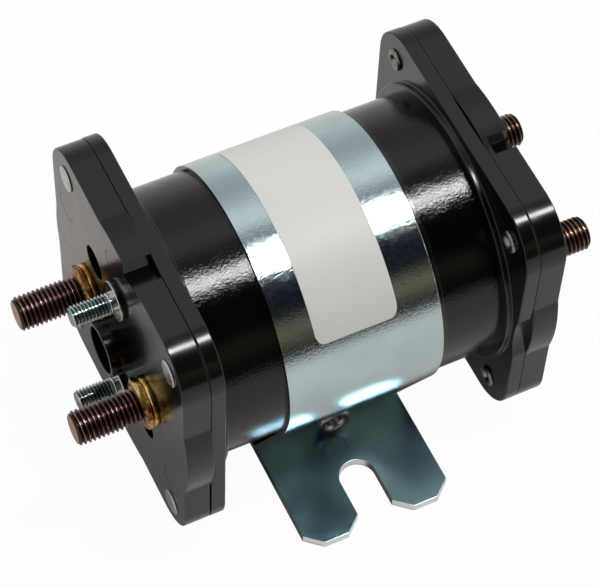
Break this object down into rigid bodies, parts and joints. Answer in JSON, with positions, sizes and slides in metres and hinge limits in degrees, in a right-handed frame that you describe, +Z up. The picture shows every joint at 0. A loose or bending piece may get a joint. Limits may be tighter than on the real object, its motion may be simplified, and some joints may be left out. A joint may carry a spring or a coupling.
{
  "type": "solenoid relay",
  "caption": "Two-ended solenoid relay with a round steel can, square black moulded ends, stud terminals, a strap and a slotted base plate.",
  "frame": {"origin": "under the can's centre, on the underside of the base plate", "axes": "+X along the can, away from the end with the coil terminals; +Y across the can along the base plate; +Z up, from the base plate to the can"},
  "size_m": [0.1248, 0.0878, 0.0795],
  "materials": {
    "black_steel": "gloss black paint",
    "zinc_bright": "bright zinc plate",
    "zinc_plate": "blue-white zinc plate",
    "rivet_metal": "plated steel",
    "dark_liner": "dark fibre",
    "label_film": "satin white film",
    "black_moulding": "gloss black phenolic",
    "copper_stud": "copper with brown patina",
    "brass_nut": "brass, tarnished at the edges",
    "zinc_stud": "zinc plate",
    "fibre": "fibre",
    "copper_wire": "enamelled copper",
    "natural_nylon": "natural nylon",
    "tape": "yellow film tape",
    "soft_iron": "turned soft iron",
    "brass_tube": "drawn brass",
    "spring_steel": "spring steel",
    "copper_bar": "bare copper",
    "red_fibre": "moulded red phenolic"
  },
  "bodies": {
    "frame": {"can": "black_steel", "liner": "dark_liner", "strap": "zinc_bright", "base_plate": "zinc_plate", "plate_rivets": "rivet_metal", "cross_rivet": "rivet_metal", "label": "label_film", "near_inner_plate": "black_moulding", "far_inner_plate": "black_moulding", "near_housing": "black_moulding", "far_housing": "black_moulding", "near_rivets": "rivet_metal", "far_rivets": "rivet_metal", "near_main_studs": "copper_stud", "far_main_studs": "copper_stud", "near_jam_nuts": "brass_nut", "far_jam_nuts": "brass_nut", "near_nut_washers": "brass_nut", "far_nut_washers": "brass_nut", "coil_studs": "zinc_stud", "coil_insulators": "fibre", "coil_washers": "zinc_stud", "coil_leads": "copper_wire", "bobbin": "natural_nylon", "winding": "copper_wire", "winding_tape": "tape", "flux_washers": "soft_iron", "guide_tube": "brass_tube", "pole_piece": "soft_iron", "return_spring": "spring_steel"},
    "shuttle": {"plunger": "soft_iron", "rod": "brass_tube", "rod_clips": "spring_steel", "near_contact_spring": "spring_steel", "far_contact_spring": "spring_steel"},
    "near_contact": {"near_bridge": "copper_bar", "near_bush": "red_fibre"},
    "far_contact": {"far_bridge": "copper_bar", "far_bush": "red_fibre"}
  },
  "joints": [
    {"name": "plunger_slide", "type": "slide", "parent": "frame", "child": "shuttle", "axis": [-1, 0, 0], "range_m": [0, 0.003], "stiffness_N_per_m": 900, "springref_m": -0.004, "deforming": ["return_spring"]},
    {"name": "near_bar_slide", "type": "slide", "parent": "shuttle", "child": "near_contact", "axis": [1, 0, 0], "range_m": [0, 0.0006], "deforming": ["near_contact_spring"]},
    {"name": "far_bar_slide", "type": "slide", "parent": "shuttle", "child": "far_contact", "axis": [1, 0, 0], "range_m": [0, 0.0006], "deforming": ["far_contact_spring"]}
  ],
  "couplings": [
    {"joint": "near_bar_slide", "follows": "plunger_slide", "ratio": 0.2},
    {"joint": "far_bar_slide", "follows": "plunger_slide", "ratio": 0.2}
  ]
}
